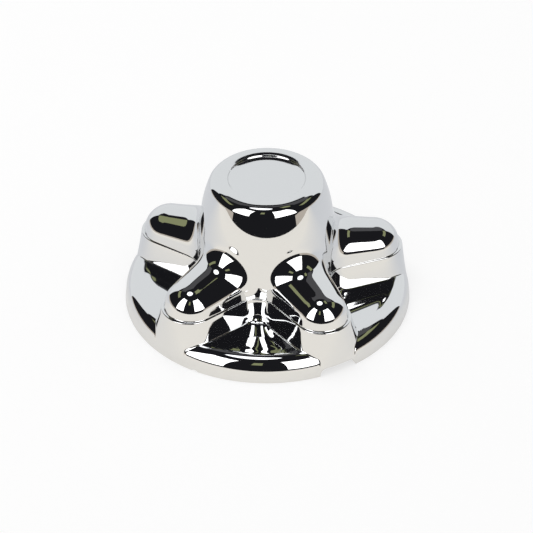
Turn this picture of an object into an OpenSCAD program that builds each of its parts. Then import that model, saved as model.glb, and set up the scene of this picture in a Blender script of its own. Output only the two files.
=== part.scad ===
// Push-on cover for the hub and the five wheel nuts of a trailer wheel, moulded in one piece.
// A round rim, five hollow arms that clear the nuts and a hollow dome that clears the hub cap.
// The part stands on its rim, with the wheel's axis along +Z and a pocket at the front, -Y.

/* [Wheel] */
// Number of wheel nuts under the cover
nut_count = 5; // [4:1:5]
// Diameter of the circle through the wheel nuts
nut_circle_d = 114.3; // [112:0.1:116]
// Width across the corners of one wheel nut
nut_corners_d = 23.8; // [23:0.1:24.5]
// Squeeze of the grip ribs on the nut's corners, measured on the diameter
grip_squeeze = 0.8; // [0.4:0.1:1.2]

/* [Moulding] */
// Thickness of the moulded wall
wall_t = 2.4; // [2:0.1:2.6]
// Thickness of a grip rib
rib_t = 1.6; // [1.2:0.1:2.4]
// Height of the ribs' lower end above the rim's foot
rib_foot_h = 5; // [3:0.5:9]

/* [Rim] */
// How far the rim's foot lies beyond the foot of the arms' end walls
rim_over = 0.2; // [0.2:0.1:1.5]
// Height of the rolled lip
rim_h = 12.3; // [11.5:0.1:13.5]
// Radius of the rolled lip's outer side
roll_r = 8.2; // [6:0.1:9]
// Radius of the hollow between the lip and the pocket floor
roll_hollow_r = 6; // [4:0.5:8]
// Height of the pocket floors beside the lip
floor_h = 10.2; // [9:0.1:11]
// Rise of a pocket floor from the lip to the dome
floor_rise = 0.8; // [0:0.1:1.5]

/* [Arms] */
// Half width of an arm at its ledge, over the nut
arm_half_w = 14.8; // [14:0.1:15.5]
// How far the middle of the ledge's round end lies beyond the nut
arm_over = 1; // [0:0.1:1.5]
// Angle at which each side of an arm spreads towards the dome
arm_taper = 8.3; // [6:0.1:10]
// Draft of the arm's lower walls and of the rim
arm_draft = 6.4; // [5:0.1:8.5]
// Height of the ledge all round the arms
ledge_h = 24; // [23:0.5:25]
// Width of the ledge
ledge_w = 1.1; // [0.6:0.1:1.6]
// Radius of the lower wall's hollow where an arm meets the dome
pocket_r = 9.5; // [6:0.5:11]
// Radius at the foot of the arm's walls
foot_r = 0.8; // [0.5:0.1:1.5]
// Radius at the foot of the pocket's inner corner
foot_corner_r = 6; // [3:0.5:7]
// Height of the straight wall above the ledge, below the round back of the arm
back_rise = 1.6; // [0.5:0.1:3]
// Height of the arm's round back, above that wall
back_h = 11.8; // [11:0.1:13.5]
// Draft of that wall
back_draft = 2; // [0:0.5:4]
// Radius of the hollow between the arm's back and the dome
saddle_r = 9.6; // [6:0.1:11]

/* [Dome] */
// Overall height of the cover
cover_h = 74.7; // [70:0.1:80]
// Radius of the dome at the height of the ledge
dome_r = 36.8; // [36:0.1:37.4]
// Draft of the dome's lower wall
dome_draft = 4.5; // [3:0.1:6]
// Height at which the dome's wall starts to lean in
lean_h = 50; // [46:1:54]
// Radius of the leaning stretch of wall
lean_r = 95; // [80:5:120]
// Slope of the wall where it meets the top's rounding
lean_end = 17; // [14:0.5:20]
// Radius of the rounding at the top
crown_r = 8; // [6:0.5:9]
// Diameter of the shallow round recess in the top
recess_d = 40.4; // [34:0.2:42]
// Depth of that recess
recess_depth = 1; // [0.4:0.1:1.2]

/* [Notch] */
// Width of the pry notch in the rim's foot
notch_w = 20.8; // [16:0.2:24]
// Height of the pry notch
notch_h = 4; // [3:0.1:5]
// Radius of the notch's rounder end
notch_r = 3.4; // [1.5:0.1:4]
// Height of the small nick beside the next arm
nick_h = 0.8; // [0.4:0.1:1.2]

/* [Hidden] */

pitch = 360 / nut_count;
nut_r = nut_circle_d / 2;
first_arm = -90 - pitch / 2;
end_r = nut_r + arm_over;
rim_r = end_r + arm_half_w + ledge_h * tan(arm_draft) + rim_over;
back_half_w = arm_half_w - ledge_w;
spring_h = ledge_h + back_rise;
cut = 1;
reach = nut_circle_d;
tiny = 1e-6;
// Height above an arm's ridge at which the hollow to the dome has ended, as a share of its radius
saddle_reach = 1.3;
// Shares of the floor's rise at the pocket's middle and behind the foot of its inner wall
floor_shares = [0.6, 1.4];
// How far the recess's wall leans in, as a share of its depth
recess_lean = 0.3;

// Largest radius that the hollow beside an arm can have before it meets the next arm's hollow
function room(hub_r, tip_r, half_w) =
  let (slope = sin(pitch / 2 + arm_taper))
  (hub_r * slope - half_w - tip_r * sin(arm_taper)) / (1 - slope);
corner_r = min(pocket_r, room(dome_r + ledge_w, end_r, arm_half_w));
back_corner_r = min(saddle_r, room(dome_r, nut_r, back_half_w));

// Angles from an arm's axis to the end of its round tip, to the start of the hollow beside it and
// to the hollow's centre
edge_side = [sin(arm_taper), cos(arm_taper)];
tip = [end_r, 0] + arm_half_w * edge_side;
end_angle = atan2(tip.y, tip.x);
corner_reach = dome_r + ledge_w + corner_r;
corner_angle = asin((arm_half_w + corner_r + end_r * edge_side.x) / corner_reach) - arm_taper;
flank = corner_reach * [cos(corner_angle), sin(corner_angle)] - corner_r * edge_side;
flank_angle = atan2(flank.y, flank.x);

// Centres of the dome's leaning wall and of its top rounding, as radius and height
lean_start = [dome_r - (lean_h - ledge_h) * tan(dome_draft), lean_h];
lean_c = lean_start - lean_r * [cos(dome_draft), sin(dome_draft)];
crown_drop = lean_c + lean_r * [cos(lean_end), sin(lean_end)] - crown_r * [cos(lean_end), sin(lean_end)];
crown_c = [crown_drop.x, cover_h - crown_r];

// Centres of the lip's roll and of the hollow beside it, as radius and height
roll_c = [rim_r - roll_r / cos(arm_draft) - (rim_h - roll_r) * tan(arm_draft), rim_h - roll_r];
roll_turn = acos(1 - (rim_h - floor_h) / (roll_r + roll_hollow_r));
hollow_c = roll_c + (roll_r + roll_hollow_r) * [-sin(roll_turn), cos(roll_turn)];

function steps(from, to, n) = [for (k = [1:n]) from + (to - from) * k / n];

// A side of a form, at a point, is the distance that the point lies outside it and the direction
// that it faces there. This joins two sides with the hollow that a ball of radius r leaves.
function fillet(a, b, r) =
  let (
    c = min(a[1] * b[1], 1 - tiny),
    from_a = r - a[0],
    from_b = r - b[0]
  )
  from_a <= from_b * c ? b[0]
    : from_b <= from_a * c ? a[0]
      : r - sqrt((from_a ^ 2 + from_b ^ 2 - 2 * from_a * from_b * c) / (1 - c ^ 2));

// Side of a rounded body of the given half width along an arm's spine, which ends at tip_r, with z
// measured upwards from the spine
function off_spine(r, turn, z, tip_r, half_w) =
  let (
    u = r * cos(turn) - tip_r,
    y = r * sin(turn),
    across = max(norm([y, z]), tiny)
  )
  u * edge_side.y > across * edge_side.x
    ? [norm([u, across]) - half_w, [u, y, z] / norm([u, across])]
    : [
        u * edge_side.x + across * edge_side.y - half_w,
        [edge_side.x, y / across * edge_side.y, z / across * edge_side.y]
      ];

// Side of an arm's round back
function arm_back(r, turn, z) =
  let (
    squash = back_half_w / back_h,
    side = off_spine(r, turn, max(z - spring_h, 0) * squash, nut_r, back_half_w),
    normal = [side[1].x, side[1].y, side[1].z * squash],
    out = side[0] - max(spring_h - z, 0) * tan(back_draft)
  )
  [out / norm(normal), normal / norm(normal)];

// Side of the dome's section, p being radius and height
function dome_section(p) =
  let (from_crown = p - crown_c, from_lean = p - lean_c, low = [cos(dome_draft), sin(dome_draft)])
  from_crown.y > from_crown.x * tan(lean_end) && from_crown.y > 0
    ? (from_crown.x < 0
      ? [p.y - cover_h, [0, 1]]
      : [norm(from_crown) - crown_r, from_crown / norm(from_crown)])
    : from_lean.y > from_lean.x * tan(dome_draft)
      ? [norm(from_lean) - lean_r, from_lean / norm(from_lean)]
      : [(p - [dome_r, ledge_h]) * low, low];

// Turns a section's side into the direction turn
function facing(side, turn) = [side[0], [side[1].x * cos(turn), side[1].x * sin(turn), side[1].y]];

// Distance outside the star of arms at the height of the ledge, in plan
function star(r, turn) =
  fillet(
    off_spine(r, turn, 0, end_r, arm_half_w),
    facing([r - dome_r - ledge_w, [1, 0]], turn),
    corner_r
  );

// Distance outside everything above the ledge
function upper(r, turn, z) =
  fillet(arm_back(r, turn, z), facing(dome_section([r, z]), turn), back_corner_r);

// Radius at which the star's edge, moved out by grow, crosses the direction turn
function star_r(turn, grow, near = 0, far = reach, n = 30) =
  let (mid = (near + far) / 2)
  n == 0 ? mid
    : star(mid, turn) < grow ? star_r(turn, grow, mid, far, n - 1)
      : star_r(turn, grow, near, mid, n - 1);

// Point of the upper surface, sunk by inset, along a ray that rises at the angle rise from the axis
function upper_point(turn, rise, inset, near = 0, far = reach, n = 30) =
  let (mid = (near + far) / 2, p = [mid * cos(rise), ledge_h - inset + mid * sin(rise)])
  n == 0 ? p
    : upper(p.x, turn, p.y) < -inset ? upper_point(turn, rise, inset, mid, far, n - 1)
      : upper_point(turn, rise, inset, near, mid, n - 1);

// The rim's section from its foot over the lip to the pocket floor, sunk by inset
function rim_section(inset, n) =
  let (r = roll_r - inset, hollow = roll_hollow_r + inset)
  [
    [rim_r - inset / cos(arm_draft), 0],
    for (a = concat([arm_draft], steps(arm_draft, 90, n), steps(90, 90 + roll_turn, 1)))
      roll_c + r * [cos(a), sin(a)],
    for (a = steps(90 + roll_turn, 90, 2))
      hollow_c - hollow * [cos(a), sin(a)],
    [nut_r - arm_half_w, floor_h - inset + floor_rise * floor_shares[0]],
    [dome_r - arm_half_w, floor_h - inset + floor_rise * floor_shares[1]]
  ];

// Point of a section at the position u, counted in its own points
function along(section, u) =
  let (i = min(floor(u), len(section) - 2))
  section[i] + (section[i + 1] - section[i]) * (u - i);

// How far the draft carries the star's edge out at height z
function drafted(z) = (ledge_h - z) * tan(arm_draft);

// Position on the rim's section where it comes within gap of the arm's lower wall
function meet(section, turn, inset, gap, near, far, n = 30) =
  let (mid = (near + far) / 2, p = along(section, mid))
  n == 0 ? mid
    : star(p.x, turn) - drafted(p.y) + inset / cos(arm_draft) > gap
      ? meet(section, turn, inset, gap, mid, far, n - 1)
      : meet(section, turn, inset, gap, near, mid, n - 1);

function curve(a, corner, b, n) =
  [for (k = [0:n]) let (f = k / n) (1 - f) ^ 2 * a + 2 * f * (1 - f) * corner + f ^ 2 * b];

// Radius at the foot of the wall, growing in the pocket's inner corner
function foot(turn) =
  let (f = max(0, (turn - flank_angle) / (pitch / 2 - flank_angle)))
  foot_r + (foot_corner_r - foot_r) * f * f * (3 - 2 * f);

// Section from the rim's foot up to the ledge
function lower_section(turn, inset, n_rim, n_foot) =
  let (
    section = rim_section(inset, n_rim - 5),
    last = len(section) - 1,
    u = meet(section, turn, inset, 0, 0, last),
    corner = along(section, u),
    from_u = max(u / 2, meet(section, turn, inset, foot(turn), 0, last)),
    top_z = corner.y + foot(turn),
    grow = -inset / cos(arm_draft)
  )
  concat(
    [for (k = [0:n_rim - 1]) along(section, from_u * k / n_rim)],
    curve(along(section, from_u), corner, [star_r(turn, drafted(top_z) + grow), top_z], n_foot),
    [[star_r(turn, drafted(ledge_h - inset) + grow), ledge_h - inset]]
  );

function rise_to(r, z, inset) = atan2(z - ledge_h + inset, r);

// Section from the ledge up to the top
function upper_section(turn, inset, n_end, n_saddle, n_crown, top_r) =
  let (
    ridge_h = spring_h + back_h,
    back = rise_to(nut_r, ridge_h - inset, inset),
    saddle = rise_to(dome_r, ridge_h + back_corner_r * saddle_reach, inset),
    shoulder = crown_c + (crown_r - inset) * [cos(lean_end), sin(lean_end)]
  )
  [
    for (rise = concat(
      [0],
      steps(0, back, n_end),
      steps(back, saddle, n_saddle),
      steps(saddle, rise_to(shoulder.x, shoulder.y, inset), 2),
      steps(rise_to(shoulder.x, shoulder.y, inset), rise_to(crown_c.x, cover_h - inset, inset), n_crown),
      [rise_to(top_r, cover_h - inset, inset)]
    )) upper_point(turn, rise, inset)
  ];

// Lofts the sections of half a sector round the axis, mirrored and repeated, into one closed solid
module loft(turns, sections, first_z, last_z) {
  half = len(turns) - 1;
  rows = [
    for (arm = [0:nut_count - 1], k = [1 - half:half])
      let (a = first_arm + arm * pitch + sign(k) * turns[abs(k)])
      [for (p = sections[abs(k)]) [p.x * cos(a), p.x * sin(a), p.y]]
  ];
  n = len(rows);
  m = len(rows[0]);
  faces = [
    for (i = [0:n - 1])
      let (here = i * m, next = ((i + 1) % n) * m)
      each concat(
        [for (j = [0:m - 2]) each [
          [here + j, here + j + 1, next + j],
          [next + j, here + j + 1, next + j + 1]
        ]],
        [[n * m, here, next], [here + m - 1, n * m + 1, next + m - 1]]
      )
  ];
  polyhedron(concat([for (row = rows) each row], [[0, 0, first_z], [0, 0, last_z]]), faces);
}

// Angles of the sections, from an arm's axis to the middle of a pocket
turns = concat(
  [0],
  steps(0, end_angle, 4),
  steps(end_angle, flank_angle, 2),
  steps(flank_angle, corner_angle, 2),
  [pitch / 2]
);

function backwards(list) = [for (k = [1:len(list)]) list[len(list) - k]];

function outer_section(turn) =
  concat(
    lower_section(turn, 0, 9, 3),
    upper_section(turn, 0, 4, 4, 4, recess_d / 2),
    [[recess_d / 2 - recess_depth * recess_lean, cover_h - recess_depth]]
  );

function inner_section(turn) =
  concat(
    lower_section(turn, wall_t, 7, 2),
    upper_section(turn, wall_t, 3, 3, 2, recess_d / 2)
  );

// The moulded wall, from the inside of its top down to the rim's foot and up again outside
module skin() {
  sections = [for (turn = turns) concat(backwards(inner_section(turn)), outer_section(turn))];
  loft(turns, sections, cover_h - wall_t, cover_h - recess_depth);
}

// One upright rib, between a nut and the arm's wall, where the wall lies further out by over
module grip_rib(over) {
  crest = (nut_corners_d - grip_squeeze) / 2;
  top_z = ledge_h - wall_t / 2;
  function mid_wall(z) = arm_half_w + over + drafted(z) - wall_t / 2;
  rotate([90, 0, 0])
    linear_extrude(rib_t, center = true)
      polygon([
        [crest, rib_foot_h + rib_t],
        [mid_wall(rib_foot_h), rib_foot_h],
        [mid_wall(top_z), top_z],
        [crest, top_z]
      ]);
}

module grip_ribs() {
  for (arm = [0:nut_count - 1])
    rotate(first_arm + arm * pitch)
      translate([nut_r, 0, 0])
        for (side = [-1:1])
          rotate(side * (90 + arm_taper))
            grip_rib(side == 0 ? arm_over : arm_over * sin(arm_taper));
}

// Notch for a lever in the rim's foot, with one end rounder than the other
module pry_notch() {
  rotate(first_arm + pitch)
    translate([nut_r, 0, 0])
      rotate([90, 0, 90])
        linear_extrude(rim_r)
          polygon([
            [-notch_w / 2, -cut],
            for (a = [0:15:90]) [
              -notch_w / 2 + notch_r * (1 - cos(a)),
              notch_h - notch_r * (1 - sin(a))
            ],
            [notch_w / 2 - notch_h / 2, notch_h],
            [notch_w / 2, 0],
            [notch_w / 2, -cut]
          ]);
}

module rim_nick() {
  nick_r = 3 * nick_h;
  rotate(first_arm + end_angle)
    translate([nut_r, 0, nick_h - nick_r])
      rotate([0, 90, 0])
        cylinder(h = rim_r, r = nick_r, $fn = 32);
}

module hub_cover() {
  color("gainsboro")
    difference() {
      union() {
        skin();
        grip_ribs();
      }
      pry_notch();
      rim_nick();
    }
}

hub_cover();
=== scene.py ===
"""Dresses the moulded cover for a trailer wheel's hub and nuts, and sets up the studio round it.

The cover is one moulding: a rim with a rolled lip, five hollow arms that clear the wheel nuts
and a hollow dome that clears the hub. Its sizes are in millimetres and degrees, as on a drawing,
and become metres when a mesh is made. The wheel's axis is +Z and the front pocket is towards -Y.
"""

import logging
import math
from collections.abc import Callable
from dataclasses import dataclass, field
from enum import Enum

import bmesh
import bpy
import numpy as np
from mathutils import Color, Matrix, Vector

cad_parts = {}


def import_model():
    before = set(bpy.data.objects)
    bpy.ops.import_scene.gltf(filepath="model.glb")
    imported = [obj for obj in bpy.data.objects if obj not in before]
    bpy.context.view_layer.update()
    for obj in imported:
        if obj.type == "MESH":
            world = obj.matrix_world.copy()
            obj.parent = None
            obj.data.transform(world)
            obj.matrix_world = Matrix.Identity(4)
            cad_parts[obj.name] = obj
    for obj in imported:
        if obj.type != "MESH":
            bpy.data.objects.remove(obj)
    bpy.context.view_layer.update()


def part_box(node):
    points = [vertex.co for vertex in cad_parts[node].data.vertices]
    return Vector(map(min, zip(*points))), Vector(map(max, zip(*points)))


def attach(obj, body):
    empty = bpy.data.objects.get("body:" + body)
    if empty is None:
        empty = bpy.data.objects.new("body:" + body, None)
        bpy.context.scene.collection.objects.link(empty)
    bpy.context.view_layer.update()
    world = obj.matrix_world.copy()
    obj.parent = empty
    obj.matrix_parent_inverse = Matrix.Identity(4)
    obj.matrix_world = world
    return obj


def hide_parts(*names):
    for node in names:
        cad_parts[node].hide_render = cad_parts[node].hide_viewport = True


NODE = "hub_cover"
BODY = "root"
MM = 0.001

# How rays find the surface, and how far roundings may reach
BISECTIONS = 44
NEARLY_PARALLEL = 0.999
NEARLY_ZERO = 1e-9
SADDLE_REACH = 1.6
LEDGE_SHARE = 0.45
RECESS_LEAN = 0.15

# How finely the rim's section and the cuts in its foot are drawn
SKIRT_POINTS = 12
ROLL_POINTS = 120
HOLLOW_POINTS = 40
FLOOR_POINTS = 60
NOTCH_POINTS = 9
NICK_POINTS = 33

# The studio, with lengths in metres and colours in linear light
CARD_DISTANCE = 1.6
CARD_COLUMNS = 24
CARD_ROWS = 8
LAMP_POINTS = 49
ROOM_LIGHT = (0.62, 0.62, 0.62, 1.0)
DARK_ROOM = (0.012, 0.012, 0.014, 1.0)
WHITE = (1.0, 1.0, 1.0, 1.0)
TABLE_GREY = (0.42, 0.42, 0.42, 1.0)
# Painted light: in the plating the table glows bright cream in front and darker and cooler behind,
# for how the table is lit; the last pair is the span along Y, in metres, over which that painted
# shade sets in
PAINTED_LIT_TABLE_FRONT = (0.58, 0.54, 0.47, 1.0)
PAINTED_SHADED_TABLE_BEHIND = (0.36, 0.37, 0.39, 1.0)
PAINTED_TABLE_SHADE_RAMP = (-0.09, 0.03)

Array = np.ndarray
Colour = tuple[float, float, float]
Point = tuple[float, float, float]
Faces = list[list[int]]

log = logging.getLogger("hub_cover")


def steps(start: float, end: float, count: int) -> Array:
    """Gives count evenly spaced values after start, up to and with end."""
    return np.linspace(start, end, count + 1)[1:]


@dataclass(frozen=True)
class Side:
    """One side of a form: how far points are outside it, and which way it faces there."""

    gap: Array
    normal: Array


def fillet(a: Side, b: Side, radius: float) -> Array:
    """Joins two sides with the hollow that a ball of the given radius leaves.

    Args:
        a: The first side.
        b: The second side.
        radius: Radius of the ball that rolls along the corner between them.

    Returns:
        Distances outside the joined form.
    """
    cos = np.clip(np.sum(a.normal * b.normal, -1), -NEARLY_PARALLEL, NEARLY_PARALLEL)
    from_a, from_b = radius - a.gap, radius - b.gap
    square = from_a**2 + from_b**2 - 2 * from_a * from_b * cos
    hollow = radius - np.sqrt(square / (1 - cos**2))
    clear_of_a = from_a <= from_b * cos
    clear_of_b = from_b <= from_a * cos
    return np.where(clear_of_a, b.gap, np.where(clear_of_b, a.gap, hollow))


def bisect(inside: Callable[[Array], Array], shape: tuple[int, ...], far: float) -> Array:
    """Finds how far each ray stays inside a form.

    Args:
        inside: Function that tells, for an array of distances, which are still inside.
        shape: Shape of the array of rays.
        far: A distance that is outside for every ray.

    Returns:
        The distance along each ray at which it leaves the form.
    """
    near, end = np.zeros(shape), np.full(shape, float(far))
    for _ in range(BISECTIONS):
        middle = (near + end) / 2
        hit = inside(middle)
        near = np.where(hit, middle, near)
        end = np.where(hit, end, middle)
    return (near + end) / 2


def round_corner(start: Array, corner: Array, end: Array, count: int) -> Array:
    """Rounds the corner of many sections at once.

    Args:
        start: One point for each section, where the rounding starts.
        corner: The sharp corner of each section.
        end: The point of each section where the rounding ends.
        count: Number of straight pieces in the rounding.

    Returns:
        Points with the shape sections, count + 1, 2.
    """
    f = np.linspace(0.0, 1.0, count + 1)[None, :, None]
    return (1 - f) ** 2 * start[:, None] + 2 * f * (1 - f) * corner[:, None] + f**2 * end[:, None]


def heading(angle: float) -> Array:
    """Direction in a plane at an angle from the first axis."""
    return np.array([math.cos(angle), math.sin(angle)])


def smooth(f: Array) -> Array:
    """Eases a share from 0 to 1 with level ends."""
    return f * f * (3 - 2 * f)


def arc(centre: Array, radius: float, angles: Array) -> Array:
    """Points of an arc, as radius and height."""
    return centre + radius * np.stack([np.cos(angles), np.sin(angles)], -1)


@dataclass(frozen=True)
class Fineness:
    """How many straight pieces each stretch of a section has."""

    rim: int
    foot: int
    wall: int
    edge: int
    back: int
    saddle: int
    lean: int
    crown: int
    recess: int


OUTSIDE = Fineness(rim=40, foot=10, wall=5, edge=4, back=26, saddle=34, lean=14, crown=20, recess=5)
INSIDE = Fineness(rim=8, foot=4, wall=3, edge=1, back=10, saddle=12, lean=4, crown=6, recess=3)


@dataclass
class CoverForm:
    """Sizes of the moulding, and the rules that give a section at any angle from an arm."""

    nut_count: int = 5
    nut_r: float = 57.15
    wall_t: float = 2.4
    rim_over: float = 0.2
    rim_h: float = 12.3
    roll_r: float = 8.2
    roll_hollow_r: float = 20.0
    floor_h: float = 12.1
    floor_rise: float = -0.8
    arm_half_w: float = 14.8
    arm_over: float = 1.0
    arm_taper: float = 8.3
    arm_draft: float = 6.4
    flank_draft: float = 15.0
    pocket_draft: float = 9.0
    ledge_h: float = 24.0
    ledge_w: float = 1.1
    edge_r: float = 0.5
    pocket_r: float = 8.0
    foot_r: float = 0.6
    foot_corner_r: float = 5.0
    back_rise: float = 1.6
    back_h: float = 11.8
    back_draft: float = 12.0
    ridge_climb: float = 3.5
    saddle_r: float = 12.0
    cover_h: float = 74.7
    dome_r: float = 36.8
    dome_draft: float = 4.5
    lean_h: float = 51.6
    lean_r: float = 70.0
    crown_r: float = 5.8
    recess_r: float = 20.2
    recess_depth: float = 1.0

    def __post_init__(self) -> None:
        """Works out the angles, and the centres of the dome's and the lip's rounded stretches."""
        self.pitch = math.tau / self.nut_count
        self.taper = math.radians(self.arm_taper)
        self.draft = math.radians(self.arm_draft)
        self.dome_lean = math.radians(self.dome_draft)
        self.back_lean = math.radians(self.back_draft)
        self.back_half_w = self.arm_half_w - self.ledge_w
        self.spring_h = self.ledge_h + self.back_rise
        square = np.array([math.sin(self.taper), math.cos(self.taper)])
        self.end_r = self.nut_r + self.arm_over
        wall_foot = self.end_r + self.arm_half_w + self.ledge_h * math.tan(self.draft)
        self.rim_r = wall_foot + self.rim_over
        tip = np.array([self.end_r, 0.0]) + self.arm_half_w * square
        self.end_angle = math.atan2(tip[1], tip[0])
        reach = self.dome_r + self.ledge_w + self.pocket_r
        off = self.arm_half_w + self.pocket_r + self.end_r * square[0]
        self.corner_angle = math.asin(off / reach) - self.taper
        corner = reach * heading(self.corner_angle)
        start = corner - self.pocket_r * square
        self.flank_angle = math.atan2(start[1], start[0])
        self._place_dome()
        self._place_lip()

    def _place_dome(self) -> None:
        """Finds the centres of the dome's leaning wall and of the rounding at its top."""
        radius = self.dome_r - (self.lean_h - self.ledge_h) * math.tan(self.dome_lean)
        self.lean_c = np.array([radius, self.lean_h]) - self.lean_r * heading(self.dome_lean)
        climb = self.cover_h - self.crown_r - self.lean_c[1]
        self.shoulder = math.asin(climb / (self.lean_r - self.crown_r))
        top = self.lean_c + (self.lean_r - self.crown_r) * heading(self.shoulder)
        self.crown_c = np.array([top[0], self.cover_h - self.crown_r])

    def _place_lip(self) -> None:
        """Finds the centres of the rolled lip and of the hollow between it and the pocket floor."""
        centre_h = self.rim_h - self.roll_r
        inset = self.roll_r / math.cos(self.draft) + centre_h * math.tan(self.draft)
        self.roll_c = np.array([self.rim_r - inset, centre_h])
        span = self.roll_r + self.roll_hollow_r
        self.roll_turn = math.acos(1 - (self.rim_h - self.floor_h) / span)
        self.hollow_c = self.roll_c + span * heading(self.roll_turn + math.pi / 2)

    def arm_edge(self, r: Array, turn: Array) -> Side:
        """The arm's edge at the height of the ledge, in plan."""
        u, y = r * np.cos(turn) - self.end_r, r * np.sin(turn)
        return self._off_spine(u, y, np.zeros_like(u), self.arm_half_w)

    def arm_back(self, r: Array, turn: Array, z: Array) -> Side:
        """The arm's round back, which climbs to the dome and ends in a drafted wall."""
        squash = self.back_half_w / self.back_h
        u, y = r * np.cos(turn) - self.nut_r, r * np.sin(turn)
        z = z + np.minimum(u, 0.0) * math.tan(math.radians(self.ridge_climb))
        above = np.maximum(z - self.spring_h, 0.0) * squash
        side = self._off_spine(u, y, above, self.back_half_w)
        normal = side.normal * np.array([1.0, 1.0, squash])
        steep = np.sqrt(np.sum(normal**2, -1))
        cos, sin = math.cos(self.back_lean), math.sin(self.back_lean)
        spread = math.hypot(self.back_half_w * cos, self.back_h * sin)
        inset = self.back_half_w - self.back_half_w**2 * cos / spread
        rise = z - self.spring_h - self.back_h**2 * sin / spread
        wall = self._off_spine(u, y, np.zeros_like(u), self.back_half_w)
        out = wall.gap + inset
        low = rise * cos < out * sin
        gap = np.where(low, out * cos + rise * sin, side.gap / steep)
        upright = wall.normal * cos + np.array([0.0, 0.0, sin])
        return Side(gap, np.where(low[..., None], upright, normal / steep[..., None]))

    def _off_spine(self, u: Array, y: Array, z: Array, half_w: float) -> Side:
        """A rounded body round the arm's spine, which spreads towards the dome."""
        sin, cos = math.sin(self.taper), math.cos(self.taper)
        wide = np.maximum(np.hypot(y, z), NEARLY_ZERO)
        far = np.maximum(np.hypot(u, wide), NEARLY_ZERO)
        at_end = u * cos > wide * sin
        gap = np.where(at_end, far, u * sin + wide * cos) - half_w
        end = np.stack([u, y, z], -1) / far[..., None]
        flank = np.stack([np.full_like(wide, sin), y / wide * cos, z / wide * cos], -1)
        return Side(gap, np.where(at_end[..., None], end, flank))

    def dome(self, r: Array, turn: Array, z: Array) -> Side:
        """The dome: a drafted wall, a leaning stretch, a rounding and a flat top."""
        crown_x, crown_z = r - self.crown_c[0], z - self.crown_c[1]
        lean_x, lean_z = r - self.lean_c[0], z - self.lean_c[1]
        crown, lean = np.hypot(crown_x, crown_z), np.hypot(lean_x, lean_z)
        cos, sin = math.cos(self.dome_lean), math.sin(self.dome_lean)
        at_top = (crown_z > crown_x * math.tan(self.shoulder)) & (crown_z > 0)
        parts = [at_top & (crown_x < 0), at_top, lean_z > lean_x * math.tan(self.dome_lean)]
        wall = (r - self.dome_r) * cos + (z - self.ledge_h) * sin
        gap = np.select(parts, [z - self.cover_h, crown - self.crown_r, lean - self.lean_r], wall)
        out = np.select(parts, [np.zeros_like(r), crown_x / crown, lean_x / lean], cos)
        up = np.select(parts, [np.ones_like(r), crown_z / crown, lean_z / lean], sin)
        return Side(gap, np.stack([out * np.cos(turn), out * np.sin(turn), up], -1))

    def star(self, r: Array, turn: Array) -> Array:
        """Distance outside the star of arms at the height of the ledge, in plan."""
        facing = np.stack([np.cos(turn), np.sin(turn), np.zeros_like(turn)], -1)
        hub = Side(r - self.dome_r - self.ledge_w, facing)
        return fillet(self.arm_edge(r, turn), hub, self.pocket_r)

    def upper(self, r: Array, turn: Array, z: Array) -> Array:
        """Distance outside everything above the ledge."""
        return fillet(self.arm_back(r, turn, z), self.dome(r, turn, z), self.saddle_r)

    def drafted(self, z: Array, turn: Array) -> Array:
        """How far the draft has carried the star's edge out at height z."""
        slopes = np.tan(np.radians([self.arm_draft, self.flank_draft, self.pocket_draft]))
        corner = (turn - self.flank_angle) / (self.corner_angle - self.flank_angle)
        to_flank = smooth(np.clip(turn / self.end_angle, 0.0, 1.0))
        to_pocket = smooth(np.clip(corner, 0.0, 1.0))
        steep = slopes[0] + to_flank * (slopes[1] - slopes[0]) + to_pocket * (slopes[2] - slopes[1])
        return (self.ledge_h - z) * steep

    def star_edge(self, turn: Array, grow: Array) -> Array:
        """Radius at which the star's edge, moved out by grow, crosses each direction."""
        shape = np.broadcast(turn, grow).shape
        return bisect(lambda r: self.star(r, turn) < grow, shape, 2 * self.nut_r)

    def upper_points(self, turn: Array, rise: Array, inset: float) -> Array:
        """Points of the upper surface along rays that rise from the axis at the ledge's height.

        Args:
            turn: Angle of each section from its arm.
            rise: Angles of the rays, one row for each section.
            inset: How far the surface is sunk into the wall.

        Returns:
            Points as radius and height, with the shape sections, rays, 2.
        """
        base = self.ledge_h - inset
        column = np.broadcast_to(turn[:, None], rise.shape)
        cos, sin = np.cos(rise), np.sin(rise)
        reach = bisect(
            lambda d: self.upper(d * cos, column, base + d * sin) < -inset,
            rise.shape,
            2 * self.nut_r,
        )
        return np.stack([reach * cos, base + reach * sin], -1)

    def rim_section(self, inset: float) -> Array:
        """Points from the rim's foot over the rolled lip to the pocket floor near the axis."""
        quarter = math.pi / 2
        roll_angles = np.linspace(self.draft, quarter + self.roll_turn, ROLL_POINTS)
        roll = arc(self.roll_c, self.roll_r - inset, roll_angles)
        foot_r = self.rim_r - inset / math.cos(self.draft)
        skirt = np.linspace([foot_r, 0.0], roll[0], SKIRT_POINTS)[:-1]
        hollow_angles = np.linspace(quarter + self.roll_turn, quarter, HOLLOW_POINTS)[1:]
        hollow = arc(self.hollow_c, -(self.roll_hollow_r + inset), hollow_angles)
        share = np.linspace(0.0, 1.0, FLOOR_POINTS)[1:]
        outer_end, inner_end = hollow[-1, 0], self.dome_r - self.arm_half_w
        radii = outer_end + share * (inner_end - outer_end)
        heights = self.floor_h - inset + self.floor_rise * smooth(share)
        return np.concatenate([skirt, roll, hollow, np.stack([radii, heights], -1)])

    def foot_radius(self, turn: Array) -> Array:
        """Radius at the foot of the walls, which grows in the pocket's inner corner."""
        share = (turn - self.flank_angle) / (self.pitch / 2 - self.flank_angle)
        return self.foot_r + (self.foot_corner_r - self.foot_r) * smooth(np.clip(share, 0.0, 1.0))

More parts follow.
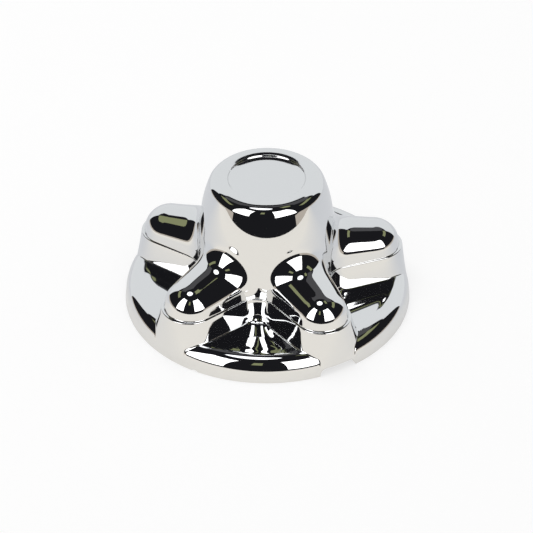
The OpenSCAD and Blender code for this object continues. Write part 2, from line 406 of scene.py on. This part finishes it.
    def lower_points(self, turn: Array, inset: float, fine: Fineness) -> Array:
        """Points from the rim's foot over the lip and the pocket floor to the foot of the wall.

        Args:
            turn: Angle of each section from its arm.
            inset: How far the surface is sunk into the wall.
            fine: How many pieces the stretches have.

        Returns:
            Points as radius and height, one row for each section.
        """
        section = self.rim_section(inset)
        pieces = np.hypot(*np.diff(section, axis=0).T)
        length = np.concatenate([[0.0], np.cumsum(pieces)])
        grow = -inset / math.cos(self.draft)

        def at(u: Array) -> Array:
            """Point of the rim's section at the length u along it."""
            radius = np.interp(u, length, section[:, 0])
            return np.stack([radius, np.interp(u, length, section[:, 1])], -1)

        def meet(gap: Array) -> Array:
            """Length at which the rim's section comes within gap of the arms' lower wall."""

            def outside(u: Array) -> Array:
                """Tells which points are still further out than the gap."""
                p = at(u)
                return self.star(p[..., 0], turn) - self.drafted(p[..., 1], turn) - grow > gap

            return bisect(outside, turn.shape, length[-1])

        whole = meet(np.zeros(turn.shape))
        foot = self.foot_radius(turn)
        start = np.maximum(whole / 2, meet(foot))
        corner = at(whole)
        top = corner[:, 1] + foot
        end = np.stack([self.star_edge(turn, self.drafted(top, turn) + grow), top], -1)
        run = at(start[:, None] * (np.arange(fine.rim) / fine.rim)[None, :])
        return np.concatenate([run, round_corner(at(start), corner, end, fine.foot)], 1)

    def angle_to(self, point: Array, inset: float) -> float:
        """Angle at which a ray from the axis rises to a point of a section."""
        return math.atan2(point[1] - self.ledge_h + inset, point[0])

    def rises(self, first: Array, inset: float, fine: Fineness) -> Array:
        """Angles of the rays that find the upper surface.

        Args:
            first: Angle of the first ray of each section.
            inset: How far the surface is sunk into the wall.
            fine: How many pieces the stretches have.

        Returns:
            One row of angles for each section.
        """
        ridge_h = self.spring_h + self.back_h
        back = self.angle_to([self.nut_r, ridge_h - inset], inset)
        saddle = self.angle_to([self.dome_r, ridge_h + self.saddle_r * SADDLE_REACH], inset)
        end_of_lean = self.crown_c + (self.crown_r - inset) * heading(self.shoulder)
        lean = self.angle_to(end_of_lean, inset)
        crown = self.angle_to([self.crown_c[0], self.cover_h - inset], inset)
        last = self.angle_to([self.recess_r + self.edge_r, self.cover_h - inset], inset)
        column = first[:, None]
        low = column + (back - column) * np.linspace(0.0, 1.0, fine.back + 1)[None, :]
        high = np.concatenate(
            [
                steps(back, saddle, fine.saddle),
                steps(saddle, lean, fine.lean),
                steps(lean, crown, fine.crown),
                [last],
            ]
        )
        return np.concatenate([low, np.broadcast_to(high, (len(first), len(high)))], 1)

    def recess(self, inset: float, fine: Fineness) -> Array:
        """Points from the recess's edge to near the axis, the same for every section."""
        top = self.cover_h - inset
        if inset:
            radii = np.linspace(self.recess_r + self.edge_r, 0.0, fine.recess + 1)[1:-1]
            return np.stack([radii, np.full(radii.shape, top)], -1)
        low = top - self.recess_depth
        lean = self.recess_depth * RECESS_LEAN
        middle = np.array([[self.recess_r - lean, (top + low) / 2]])
        rim = np.array([[self.recess_r + self.edge_r, top]])
        foot = np.array([[self.recess_r - 2 * lean - self.edge_r, low]])
        down = round_corner(rim, np.array([[self.recess_r, top]]), middle, fine.edge)[0][1:]
        along = round_corner(middle, np.array([[self.recess_r - 2 * lean, low]]), foot, fine.edge)
        radii = np.linspace(foot[0, 0], 0.0, fine.recess + 1)[1:-1]
        flat = np.stack([radii, np.full(radii.shape, low)], -1)
        return np.concatenate([down, along[0][1:], flat])

    def section(self, turn: Array, inset: float, fine: Fineness) -> Array:
        """Whole sections from the rim's foot to near the axis at the top.

        Args:
            turn: Angle of each section from its arm.
            inset: How far the surface is sunk into the wall.
            fine: How many pieces the stretches have.

        Returns:
            Points as radius and height, with the shape sections, points, 2.
        """
        ledge = self.ledge_h - inset
        grow = -inset / math.cos(self.draft)
        edge_r = self.star_edge(turn, self.drafted(np.full(turn.shape, ledge), turn) + grow)
        level = np.zeros((len(turn), 1))
        back_r = self.upper_points(turn, level, inset)[:, 0, 0]
        ease = np.minimum(self.edge_r, (edge_r - back_r) * LEDGE_SHARE)

        def on_ledge(radius: Array) -> Array:
            """Points of the ledge at the given radii."""
            return np.stack([radius, np.full(radius.shape, ledge)], -1)

        low = self.lower_points(turn, inset, fine)
        start = low[:, -1, 1][:, None]
        heights = start + (ledge - self.edge_r - start) * steps(0.0, 1.0, fine.wall)[None, :]
        column = np.broadcast_to(turn[:, None], heights.shape)
        radii = self.star_edge(column, self.drafted(heights, column) + grow)
        wall = np.stack([radii, heights], -1)
        rises = self.rises(np.arctan2(ease, back_r), inset, fine)
        up = self.upper_points(turn, rises, inset)
        edge = round_corner(wall[:, -1], on_ledge(edge_r), on_ledge(edge_r - ease), fine.edge)
        root = round_corner(on_ledge(back_r + ease), on_ledge(back_r), up[:, 0], fine.edge)
        cap = self.recess(inset, fine)
        cap = np.broadcast_to(cap, (len(turn),) + cap.shape)
        return np.concatenate([low, wall, edge[:, 1:], root[:, :-1], up, cap], 1)

    def stations(self, end: int, flank: int, corner: int, pocket: int) -> Array:
        """Angles of the sections, from an arm's axis to the middle of a pocket."""
        return np.concatenate(
            [
                [0.0],
                steps(0.0, self.end_angle, end),
                steps(self.end_angle, self.flank_angle, flank),
                steps(self.flank_angle, self.corner_angle, corner),
                steps(self.corner_angle, self.pitch / 2, pocket),
            ]
        )


def links_of(tree: bpy.types.NodeTree, *pairs: tuple) -> None:
    """Links pairs of sockets in a node tree."""
    for start, end in pairs:
        tree.links.new(start, end)


def add_node(tree: bpy.types.NodeTree, kind: str, **values: object) -> bpy.types.Node:
    """Adds a node to a tree and sets its inputs by name, with underscores for spaces."""
    made = tree.nodes.new(kind)
    for name, value in values.items():
        made.inputs[name.replace("_", " ")].default_value = value
    return made


@dataclass(frozen=True)
class Plating:
    """A plated surface: how bright it is, how smooth, and how much the moulding below shows."""

    name: str
    colour: Colour
    roughness: float
    haze: float
    haze_size: float
    wave_size: float
    wave_depth: float
    wave_bump: float

    def material(self) -> bpy.types.Material:
        """Builds the plating's material, whose pattern reads the piece's own coordinates."""
        made = bpy.data.materials.new(self.name)
        made.use_nodes = True
        tree = made.node_tree
        shader = tree.nodes["Principled BSDF"]
        shader.inputs["Base Color"].default_value = (*self.colour, 1.0)
        shader.inputs["Metallic"].default_value = 1.0
        place = add_node(tree, "ShaderNodeTexCoord")
        noise = "ShaderNodeTexNoise"
        haze = add_node(tree, noise, Scale=1 / (self.haze_size * MM), Detail=4.0)
        least, most = max(self.roughness - self.haze, 0.0), self.roughness + self.haze
        spread = add_node(tree, "ShaderNodeMapRange", To_Min=least, To_Max=most)
        wave = add_node(tree, noise, Scale=1 / (self.wave_size * MM), Detail=2.0)
        bump = add_node(
            tree, "ShaderNodeBump", Strength=self.wave_bump, Distance=self.wave_depth * MM
        )
        links_of(
            tree,
            (place.outputs["Object"], haze.inputs["Vector"]),
            (haze.outputs["Fac"], spread.inputs["Value"]),
            (spread.outputs["Result"], shader.inputs["Roughness"]),
            (place.outputs["Object"], wave.inputs["Vector"]),
            (wave.outputs["Fac"], bump.inputs["Height"]),
            (bump.outputs["Normal"], shader.inputs["Normal"]),
        )
        return made


BRIGHT = Plating(
    name="bright_plating",
    colour=(0.80, 0.81, 0.82),
    roughness=0.03,
    haze=0.015,
    haze_size=9.0,
    wave_size=26.0,
    wave_depth=0.03,
    wave_bump=1.0,
)
DULL = Plating(
    name="dull_plating_inside",
    colour=(0.62, 0.62, 0.61),
    roughness=0.34,
    haze=0.08,
    haze_size=6.0,
    wave_size=3.0,
    wave_depth=0.02,
    wave_bump=0.6,
)


class RingTree:
    """Geometry Nodes that repeat one sector of the moulding round the wheel's axis."""

    def __init__(self) -> None:
        """Builds the tree with its named inputs."""
        self.tree = bpy.data.node_groups.new("repeat_round_axis", "GeometryNodeTree")
        self.inputs: dict[str, str] = {}
        face = self.tree.interface
        face.new_socket("Geometry", in_out="OUTPUT", socket_type="NodeSocketGeometry")
        for name, kind in (
            ("Sector", "NodeSocketGeometry"),
            ("Copies", "NodeSocketInt"),
            ("First angle", "NodeSocketFloat"),
            ("Merge distance", "NodeSocketFloat"),
            ("Outside", "NodeSocketMaterial"),
            ("Inside", "NodeSocketMaterial"),
        ):
            socket = face.new_socket(name, in_out="INPUT", socket_type=kind)
            self.inputs[name] = socket.identifier
        self._build()

    def _math(
        self, operation: str, a: bpy.types.NodeSocket | float, b: bpy.types.NodeSocket | float
    ) -> bpy.types.NodeSocket:
        """Adds a math node for two sockets or numbers and gives its result."""
        node = self.tree.nodes.new("ShaderNodeMath")
        node.operation = operation
        for socket, value in zip(node.inputs, (a, b)):
            if isinstance(value, (int, float)):
                socket.default_value = value
            else:
                self.tree.links.new(value, socket)
        return node.outputs[0]

    def _build(self) -> None:
        """Adds and links the nodes, from the points round the axis to the two platings."""
        nodes = self.tree.nodes
        given = nodes.new("NodeGroupInput")
        points = nodes.new("GeometryNodePoints")
        copies = nodes.new("GeometryNodeInstanceOnPoints")
        index = nodes.new("GeometryNodeInputIndex")
        turn = nodes.new("ShaderNodeCombineXYZ")
        real = nodes.new("GeometryNodeRealizeInstances")
        merge = nodes.new("GeometryNodeMergeByDistance")
        outside = nodes.new("GeometryNodeSetMaterial")
        inside = nodes.new("GeometryNodeSetMaterial")
        hidden = nodes.new("GeometryNodeInputNamedAttribute")
        hidden.data_type = "BOOLEAN"
        hidden.inputs["Name"].default_value = "inside"
        result = nodes.new("NodeGroupOutput")
        pitch = self._math("DIVIDE", math.tau, given.outputs["Copies"])
        step = self._math("MULTIPLY", index.outputs["Index"], pitch)
        angle = self._math("ADD", step, given.outputs["First angle"])
        links_of(
            self.tree,
            (given.outputs["Copies"], points.inputs["Count"]),
            (angle, turn.inputs["Z"]),
            (points.outputs[0], copies.inputs["Points"]),
            (given.outputs["Sector"], copies.inputs["Instance"]),
            (turn.outputs["Vector"], copies.inputs["Rotation"]),
            (copies.outputs["Instances"], real.inputs["Geometry"]),
            (real.outputs["Geometry"], merge.inputs["Geometry"]),
            (given.outputs["Merge distance"], merge.inputs["Distance"]),
            (merge.outputs["Geometry"], outside.inputs["Geometry"]),
            (given.outputs["Outside"], outside.inputs["Material"]),
            (outside.outputs["Geometry"], inside.inputs["Geometry"]),
            (hidden.outputs["Attribute"], inside.inputs["Selection"]),
            (given.outputs["Inside"], inside.inputs["Material"]),
            (inside.outputs["Geometry"], result.inputs["Geometry"]),
        )

    def apply(self, sector: bpy.types.Object, values: dict[str, object]) -> bpy.types.Object:
        """Repeats a sector and gives the whole ring as a plain mesh.

        Args:
            sector: Object that holds one sector, which is removed.
            values: The tree's inputs by name.

        Returns:
            A new object with the merged ring.
        """
        modifier = sector.modifiers.new("repeat", "NODES")
        modifier.node_group = self.tree
        for name, value in values.items():
            modifier[self.inputs[name]] = value
        ring = plain_copy(sector, sector.name.removesuffix("_sector"))
        sector.modifiers.remove(modifier)
        bpy.data.objects.remove(sector)
        return ring


def new_object(name: str, mesh: bpy.types.Mesh) -> bpy.types.Object:
    """Puts a mesh in the scene as an object at the origin."""
    made = bpy.data.objects.new(name, mesh)
    bpy.context.scene.collection.objects.link(made)
    return made


def plain_copy(source: bpy.types.Object, name: str) -> bpy.types.Object:
    """Turns what an object's modifiers give into a new object without modifiers."""
    graph = bpy.context.evaluated_depsgraph_get()
    mesh = bpy.data.meshes.new_from_object(source.evaluated_get(graph), depsgraph=graph)
    mesh.name = name
    return new_object(name, mesh)


def mesh_from(name: str, points: Array, faces: Faces) -> bpy.types.Mesh:
    """Makes a mesh from points in millimetres and lists of corners."""
    mesh = bpy.data.meshes.new(name)
    mesh.from_pydata((points * MM).tolist(), [], faces)
    mesh.validate()
    return mesh


def mark_inside(mesh: bpy.types.Mesh, flags: list[bool]) -> None:
    """Marks which faces of a mesh belong to the cover's dull inside."""
    mark = mesh.attributes.new("inside", "BOOLEAN", "FACE")
    mark.data.foreach_set("value", flags)


def prism(near: list[Point], far: list[Point]) -> tuple[Array, Faces]:
    """Closes two matching outlines into one body.

    Args:
        near: Corners of the first outline.
        far: The same corners of the second outline.

    Returns:
        The body's points, and its faces as lists of corners.
    """
    last = len(near)
    faces = [list(range(last)), list(range(2 * last - 1, last - 1, -1))]
    for k in range(last):
        after = (k + 1) % last
        faces.append([k, k + last, after + last, after])
    return np.array(near + far), faces


@dataclass
class HubCover:
    """The whole moulding: the plated wall, the grip ribs inside it and the cuts in its foot."""

    form: CoverForm
    stations: tuple[int, int, int, int] = (16, 12, 9, 2)
    first_arm: float = field(init=False)
    nut_corners: float = 23.8
    grip_squeeze: float = 0.8
    rib_t: float = 1.6
    rib_foot_h: float = 5.0
    rib_edge: float = 0.3
    notch_w: float = 20.8
    notch_h: float = 4.0
    notch_r: float = 3.4
    nick_h: float = 0.8
    nick_roundness: float = 3.0
    cut_over: float = 5.0
    cut_below: float = 2.0
    merge: float = 0.0005
    sharp: float = 38.0

    def __post_init__(self) -> None:
        """Turns the ring so that a pocket faces the front."""
        self.first_arm = -math.pi / 2 - self.form.pitch / 2

    def sector(self) -> bpy.types.Object:
        """Builds one arm with half a pocket on each side, inside and outside in one loop.

        Returns:
            The sector, with a face attribute that marks the inside.
        """
        form = self.form
        turn = form.stations(*self.stations)
        outer = form.section(turn, 0.0, OUTSIDE)
        inner = form.section(turn, form.wall_t, INSIDE)
        half = np.concatenate([inner[:, ::-1], outer], 1)
        rows = np.concatenate([half[:0:-1], half])
        angles = np.concatenate([-turn[:0:-1], turn])[:, None]
        radius, height = rows[..., 0], rows[..., 1]
        points = np.stack([radius * np.cos(angles), radius * np.sin(angles), height], -1)
        count, width = rows.shape[:2]
        tops = (form.cover_h - form.wall_t, form.cover_h - form.recess_depth)
        vertices = np.concatenate([points.reshape(-1, 3), [[0.0, 0.0, top] for top in tops]])
        faces, inside = self._loop_faces(count, width, inner.shape[1])
        mesh = mesh_from(f"{NODE}_sector", vertices, faces)
        mark_inside(mesh, inside)
        return new_object(f"{NODE}_sector", mesh)

    def _loop_faces(self, count: int, width: int, inner_width: int) -> tuple[Faces, list[bool]]:
        """Lists the faces between neighbouring sections, with a flag for those inside.

        Args:
            count: Number of sections.
            width: Number of points in a section.
            inner_width: How many of them, from the first, lie inside.
        """
        faces, inside = [], []
        for i in range(count - 1):
            here, beyond = i * width, (i + 1) * width
            for j in range(width - 1):
                faces.append([here + j, beyond + j, beyond + j + 1, here + j + 1])
                inside.append(j < inner_width - 1)
            faces.append([count * width, beyond, here])
            inside.append(True)
            faces.append([here + width - 1, beyond + width - 1, count * width + 1])
            inside.append(False)
        return faces, inside

    def rib(self, side: int) -> tuple[Array, Faces]:
        """One upright grip rib between a nut and the arm's wall.

        Args:
            side: -1 or 1 for a rib at the arm's flank, 0 for the one at its end.

        Returns:
            The rib's points in the arm's own frame, and its faces.
        """
        form = self.form
        crest = (self.nut_corners - self.grip_squeeze) / 2
        top_h = form.ledge_h - form.wall_t / 2
        over = form.arm_over * (math.sin(form.taper) if side else 1.0)
        middle = form.arm_half_w + over - form.wall_t / 2
        turn = np.full(2, form.end_angle if side else 0.0)
        low_wall, high_wall = middle + form.drafted(np.array([self.rib_foot_h, top_h]), turn)
        outline = [
            (crest, self.rib_foot_h + self.rib_t),
            (low_wall, self.rib_foot_h),
            (high_wall, top_h),
            (crest, top_h),
        ]
        angle = side * (math.pi / 2 + form.taper)
        cos, sin = math.cos(angle), math.sin(angle)

        def at(y: float) -> list[Point]:
            """The outline's corners on the rib's side at y from its middle."""
            return [(form.nut_r + x * cos - y * sin, x * sin + y * cos, z) for x, z in outline]

        return prism(at(-self.rib_t / 2), at(self.rib_t / 2))

    def rib_sector(self) -> bpy.types.Object:
        """The three grip ribs of one arm, with their edges eased."""
        points, faces = [], []
        for side in (-1, 0, 1):
            corners, sides = self.rib(side)
            start = sum(len(p) for p in points)
            points.append(corners)
            faces += [[start + k for k in face] for face in sides]
        mesh = mesh_from("grip_ribs_sector", np.concatenate(points), faces)
        mark_inside(mesh, [True] * len(mesh.polygons))
        made = new_object("grip_ribs_sector", mesh)
        ease = made.modifiers.new("ease", "BEVEL")
        ease.width = self.rib_edge * MM
        ease.segments = 2
        eased = plain_copy(made, "grip_ribs_sector")
        bpy.data.objects.remove(made)
        return eased

    def notch(self) -> bpy.types.Object:
        """The body that cuts the lever's notch in the rim's foot, under the arm at the right."""
        half, round_r, below = self.notch_w / 2, self.notch_r, -self.cut_below
        outline = [(-half, below)]
        outline += [
            (-half + round_r * (1 - math.cos(a)), self.notch_h - round_r * (1 - math.sin(a)))
            for a in np.linspace(0.0, math.pi / 2, NOTCH_POINTS)
        ]
        outline += [(half - self.notch_h / 2, self.notch_h), (half, 0.0), (half, below)]
        return self._cutter("notch", outline, self.first_arm + self.form.pitch)

    def nick(self) -> bpy.types.Object:
        """The body that cuts the small nick in the rim's foot, left of the front."""
        radius = self.nick_roundness * self.nick_h
        outline = [
            (radius * math.cos(a), self.nick_h - radius + radius * math.sin(a))
            for a in np.linspace(0.0, math.tau, NICK_POINTS)[:-1]
        ]
        return self._cutter("nick", outline, self.first_arm + self.form.end_angle)

    def _cutter(
        self, name: str, outline: list[tuple[float, float]], angle: float
    ) -> bpy.types.Object:
        """Extrudes an upright outline outwards through the rim at an angle."""
        cos, sin = math.cos(angle), math.sin(angle)

        def at(r: float) -> list[Point]:
            """The outline's corners at the distance r from the axis."""
            return [(r * cos - y * sin, r * sin + y * cos, z) for y, z in outline]

        points, faces = prism(at(self.form.nut_r), at(self.form.rim_r + self.cut_over))
        return new_object(name, mesh_from(name, points, faces))

    def combine(
        self, cover: bpy.types.Object, tool: bpy.types.Object, operation: str
    ) -> bpy.types.Object:
        """Joins a closed body to the cover, or cuts it out of it.

        Args:
            cover: The closed moulding, which is removed.
            tool: The closed body, which is removed as well.
            operation: UNION or DIFFERENCE, as Blender names them.
        """
        make_outward(tool.data)
        step = cover.modifiers.new(tool.name, "BOOLEAN")
        step.operation = operation
        step.object = tool
        step.solver = "MANIFOLD"
        made = plain_copy(cover, NODE)
        for old in (cover, tool):
            bpy.data.objects.remove(old)
        return made

    def build(self) -> bpy.types.Object:
        """Builds the moulding in its fine form, at the origin."""
        bright, dull = BRIGHT.material(), DULL.material()
        ring = RingTree()
        values = {
            "Copies": self.form.nut_count,
            "First angle": self.first_arm,
            "Merge distance": self.merge * MM,
            "Outside": bright,
            "Inside": dull,
        }
        cover = ring.apply(self.sector(), values)
        make_outward(cover.data)
        ribs = ring.apply(self.rib_sector(), values)
        cover = self.combine(cover, ribs, "UNION")
        for tool in (self.notch(), self.nick()):
            tool.data.materials.append(bright)
            cover = self.combine(cover, tool, "DIFFERENCE")
        cover.name = "plated_hub_cover"
        cover.data.name = "plated_hub_cover"
        cover.data.shade_smooth()
        cover.data.set_sharp_from_angle(angle=math.radians(self.sharp))
        return cover


def make_outward(mesh: bpy.types.Mesh) -> None:
    """Turns every face of a closed mesh outwards."""
    work = bmesh.new()
    work.from_mesh(mesh)
    bmesh.ops.recalc_face_normals(work, faces=work.faces)
    work.to_mesh(mesh)
    work.free()


class Tone(Enum):
    """What the studio's cards look like in the plating, as 8-bit sRGB."""

    WINDOW = (255, 255, 255)
    WALL = (211, 214, 216)
    BAND = (176, 168, 158)
    OLIVE = (128, 132, 98)
    CEILING = (72, 72, 74)
    LAMP = (250, 252, 255)

    def light(self) -> Colour:
        """The linear light that the card has to give, so that it shows so in the plating."""
        seen = Color(level / 255 for level in self.value).from_srgb_to_scene_linear()
        return tuple(v / plate for v, plate in zip(seen, BRIGHT.colour))


@dataclass(frozen=True)
class Card:
    """A curved card of the studio, by the angles that it spans as seen from the cover.

    Turns are from the camera's side, and positive to the camera's right. Rises are from level.
    """

    name: str
    tone: Tone
    turn: tuple[float, float]
    rise: tuple[float, float]
    strength: float = 1.0
    arch: float = 0.0
    distance: float = CARD_DISTANCE


CARDS = (
    Card("left_window", Tone.WINDOW, (-64.0, -32.0), (6.0, 60.5), strength=2.0),
    Card("right_window", Tone.WINDOW, (14.0, 54.0), (6.0, 60.5), strength=2.0),
    Card("middle_leaf", Tone.OLIVE, (-14.0, -5.0), (40.0, 56.0)),
    Card("left_wall", Tone.WALL, (-180.0, -127.0), (-6.0, 38.0), arch=10.0),
    Card("right_wall", Tone.WALL, (117.0, 180.0), (-6.0, 38.0), arch=13.0),
    Card("left_band", Tone.BAND, (-127.0, -61.0), (-8.0, 1.0), arch=3.0),
    Card("right_band", Tone.BAND, (50.0, 117.0), (-8.0, 1.0), arch=3.0),
    Card("left_leaf", Tone.OLIVE, (-126.0, -87.0), (42.0, 51.0)),
    Card("right_leaf", Tone.OLIVE, (82.0, 116.0), (41.0, 51.0)),
    Card("back_ceiling", Tone.CEILING, (118.0, 233.0), (50.0, 66.0), distance=1.8),
    Card("back_leaf", Tone.OLIVE, (100.0, 145.0), (69.0, 76.0)),
)


@dataclass
class Studio:
    """Camera, floor, cards and lamp, all placed from the camera's own side of the cover."""

    turn: float = 7.4
    rise: float = 37.5
    roll: float = -0.45
    distance: float = 1200.0
    target: Point = (-0.446, -0.058, 16.7)
    focal: float = 2260.0
    frame: int = 533
    sensor: float = 36.0
    table_edge: float = 290.0
    table_reach: float = 4000.0
    table_drop: float = 0.1
    centre_h: float = 50.0
    lamp_turn: float = -125.0
    lamp_rise: float = 84.0
    lamp_spread: float = 9.5
    lamp_strength: float = 1.6
    soft_size: float = 1.4
    soft_energy: float = 7.0
    soft_place: Point = (-0.25, 0.15, 1.5)

    def camera(self) -> None:
        """Places the camera at the photograph's angle."""
        turn, rise, roll = (math.radians(a) for a in (self.turn, self.rise, self.roll))
        back = Vector(
            (math.sin(turn) * math.cos(rise), -math.cos(turn) * math.cos(rise), math.sin(rise))
        )
        level = Vector((math.cos(turn), math.sin(turn), 0.0))
        right = math.cos(roll) * level + math.sin(roll) * back.cross(level)
        up = back.cross(right)
        data = bpy.data.cameras.new("camera")
        data.sensor_width = self.sensor
        data.lens = self.focal * self.sensor / self.frame
        made = bpy.data.objects.new("camera", data)
        bpy.context.scene.collection.objects.link(made)
        made.matrix_world = Matrix((right, up, back)).transposed().to_4x4()
        made.location = (Vector(self.target) + self.distance * back) * MM
        bpy.context.scene.camera = made

    def direction(self, turn: float, rise: float) -> Vector:
        """Direction from the cover at a turn from the camera's side and a rise from level."""
        a, e = math.radians(turn + self.turn), math.radians(rise)
        return Vector((math.sin(a) * math.cos(e), -math.cos(a) * math.cos(e), math.sin(e)))

    def _place(
        self, name: str, points: list[Vector], faces: Faces, material: bpy.types.Material
    ) -> bpy.types.Object:
        """Adds an object of the studio, with its points in metres."""
        mesh = bpy.data.meshes.new(name)
        mesh.from_pydata(points, [], faces)
        mesh.materials.append(material)
        made = new_object(name, mesh)
        return made

    def _place_in_plating(
        self, name: str, points: list[Vector], faces: Faces, tone: Tone, strength: float
    ) -> None:
        """Adds an object that gives light and shows in reflections alone."""
        made = self._place(name, points, faces, glow(name, tone.light(), strength))
        made.visible_camera = False
        made.visible_diffuse = False
        made.visible_shadow = False

    def card(self, card: Card) -> None:
        """Builds one card as a patch of a large sphere."""
        centre = Vector((0.0, 0.0, self.centre_h * MM))
        points, faces = [], []
        for i in range(CARD_COLUMNS + 1):
            share = i / CARD_COLUMNS
            turn = card.turn[0] + (card.turn[1] - card.turn[0]) * share
            top = card.rise[1] + card.arch * math.sin(math.pi * share)
            for j in range(CARD_ROWS + 1):
                rise = card.rise[0] + (top - card.rise[0]) * j / CARD_ROWS
                points.append(centre + card.distance * self.direction(turn, rise))
        for i in range(CARD_COLUMNS):
            for j in range(CARD_ROWS):
                k = i * (CARD_ROWS + 1) + j
                faces.append([k, k + 1, k + CARD_ROWS + 2, k + CARD_ROWS + 1])
        self._place_in_plating(card.name, points, faces, card.tone, card.strength)

    def round_lamp(self) -> None:
        """Hangs the round ceiling lamp that shows as a dot in every rounding."""
        away = self.direction(self.lamp_turn, self.lamp_rise)
        centre = Vector((0.0, 0.0, self.centre_h * MM)) + CARD_DISTANCE * away
        side = away.orthogonal().normalized()
        other = away.cross(side)
        reach = CARD_DISTANCE * math.tan(math.radians(self.lamp_spread))
        points = [
            centre + reach * (math.cos(a) * side + math.sin(a) * other)
            for a in np.linspace(0.0, math.tau, LAMP_POINTS)[:-1]
        ]
        face = list(range(len(points)))
        self._place_in_plating("round_lamp", points, [face], Tone.LAMP, self.lamp_strength)

    def floor(self) -> None:
        """Lays the table, which ends in front of the cover."""
        front, side, back = -self.table_edge, self.table_reach, self.table_reach
        turn = math.radians(self.turn)
        cos, sin = math.cos(turn), math.sin(turn)
        corners = [(-side, front), (side, front), (side, back), (-side, back)]
        points = [
            Vector((x * cos - y * sin, x * sin + y * cos, -self.table_drop)) * MM
            for x, y in corners
        ]
        self._place("floor", points, [list(range(len(points)))], pale_floor())

    def lamp(self) -> None:
        """Hangs one large soft lamp over the table, kept out of the plating."""
        data = bpy.data.lights.new("soft_lamp", "AREA")
        data.shape = "DISK"
        data.size = self.soft_size
        data.energy = self.soft_energy
        made = bpy.data.objects.new("soft_lamp", data)
        bpy.context.scene.collection.objects.link(made)
        made.location = self.soft_place
        made.rotation_euler = (-made.location).to_track_quat("-Z", "Y").to_euler()
        made.visible_glossy = False

    def world(self) -> None:
        """Lights the room softly, white to the camera and dark in the plating."""
        made = bpy.data.worlds.new("studio")
        made.use_nodes = True
        bpy.context.scene.world = made
        tree = made.node_tree
        path = add_node(tree, "ShaderNodeLightPath")
        soft = tree.nodes["Background"]
        soft.inputs["Color"].default_value = ROOM_LIGHT
        white = add_node(tree, "ShaderNodeBackground", Color=WHITE)
        dark = add_node(tree, "ShaderNodeBackground", Color=DARK_ROOM)
        first = add_node(tree, "ShaderNodeMixShader")
        second = add_node(tree, "ShaderNodeMixShader")
        links_of(
            tree,
            (path.outputs["Is Glossy Ray"], first.inputs["Fac"]),
            (soft.outputs[0], first.inputs[1]),
            (dark.outputs[0], first.inputs[2]),
            (path.outputs["Is Camera Ray"], second.inputs["Fac"]),
            (first.outputs[0], second.inputs[1]),
            (white.outputs[0], second.inputs[2]),
            (second.outputs[0], tree.nodes["World Output"].inputs["Surface"]),
        )

    def build(self) -> None:
        """Builds the whole studio."""
        self.camera()
        self.floor()
        for card in CARDS:
            self.card(card)
        self.round_lamp()
        self.lamp()
        self.world()


def bare_material(name: str) -> bpy.types.Material:
    """Makes a material with nothing but its output."""
    made = bpy.data.materials.new(name)
    made.use_nodes = True
    made.node_tree.nodes.remove(made.node_tree.nodes["Principled BSDF"])
    return made


def glow(name: str, colour: Colour, strength: float) -> bpy.types.Material:
    """Makes a material that gives light of one colour."""
    made = bare_material(name)
    tree = made.node_tree
    light = add_node(tree, "ShaderNodeEmission", Color=(*colour, 1.0), Strength=strength)
    links_of(tree, (light.outputs[0], tree.nodes["Material Output"].inputs["Surface"]))
    return made


def pale_floor() -> bpy.types.Material:
    """Makes the table's material.

    Returns:
        A material that is white to the camera but for a soft shadow. In the plating it glows with
        painted light: bright cream in front and darker and cooler behind, for how the table is lit.
    """
    made = bare_material("pale_floor")
    tree = made.node_tree
    path = add_node(tree, "ShaderNodeLightPath")
    lit = add_node(tree, "ShaderNodeBsdfDiffuse", Color=TABLE_GREY)
    white = add_node(tree, "ShaderNodeEmission", Color=ROOM_LIGHT)
    painted_reflection = add_node(tree, "ShaderNodeEmission")
    place = add_node(tree, "ShaderNodeTexCoord")
    axes = add_node(tree, "ShaderNodeSeparateXYZ")
    # Painted shade: along Y the glow that the plating sees turns from the lit cream front tone to
    # the darker, cooler tone behind
    front, behind = PAINTED_TABLE_SHADE_RAMP
    back = add_node(tree, "ShaderNodeMapRange", From_Min=front, From_Max=behind)
    painted_light_mix = add_node(tree, "ShaderNodeMix")
    painted_light_mix.data_type = "RGBA"  # its colour sockets come after those for numbers and vectors
    factor, lit_front_tone, shaded_back_tone = (painted_light_mix.inputs[k] for k in (0, 6, 7))
    lit_front_tone.default_value = PAINTED_LIT_TABLE_FRONT
    shaded_back_tone.default_value = PAINTED_SHADED_TABLE_BEHIND
    seen = add_node(tree, "ShaderNodeMixShader")
    total = add_node(tree, "ShaderNodeAddShader")
    links_of(
        tree,
        (place.outputs["Object"], axes.inputs["Vector"]),
        (axes.outputs["Y"], back.inputs["Value"]),
        (back.outputs["Result"], factor),
        (painted_light_mix.outputs[2], painted_reflection.inputs["Color"]),
        (path.outputs["Is Camera Ray"], seen.inputs["Fac"]),
        (painted_reflection.outputs[0], seen.inputs[1]),
        (white.outputs[0], seen.inputs[2]),
        (lit.outputs[0], total.inputs[0]),
        (seen.outputs[0], total.inputs[1]),
        (total.outputs[0], tree.nodes["Material Output"].inputs["Surface"]),
    )
    return made


def main() -> None:
    """Loads the frame, builds the cover and the studio, and reports each piece."""
    logging.basicConfig(level=logging.INFO, format="%(name)s: %(message)s")
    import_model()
    form = CoverForm(cover_h=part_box(NODE)[1].z / MM)
    cover = HubCover(form).build()
    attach(cover, BODY)
    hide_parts(NODE)
    log.info("%s has %d faces", cover.name, len(cover.data.polygons))
    Studio().build()
    log.info("studio has %d cards", len(CARDS))
    view = bpy.context.scene.view_settings
    view.view_transform = "Standard"


if __name__ == "__main__":
    main()
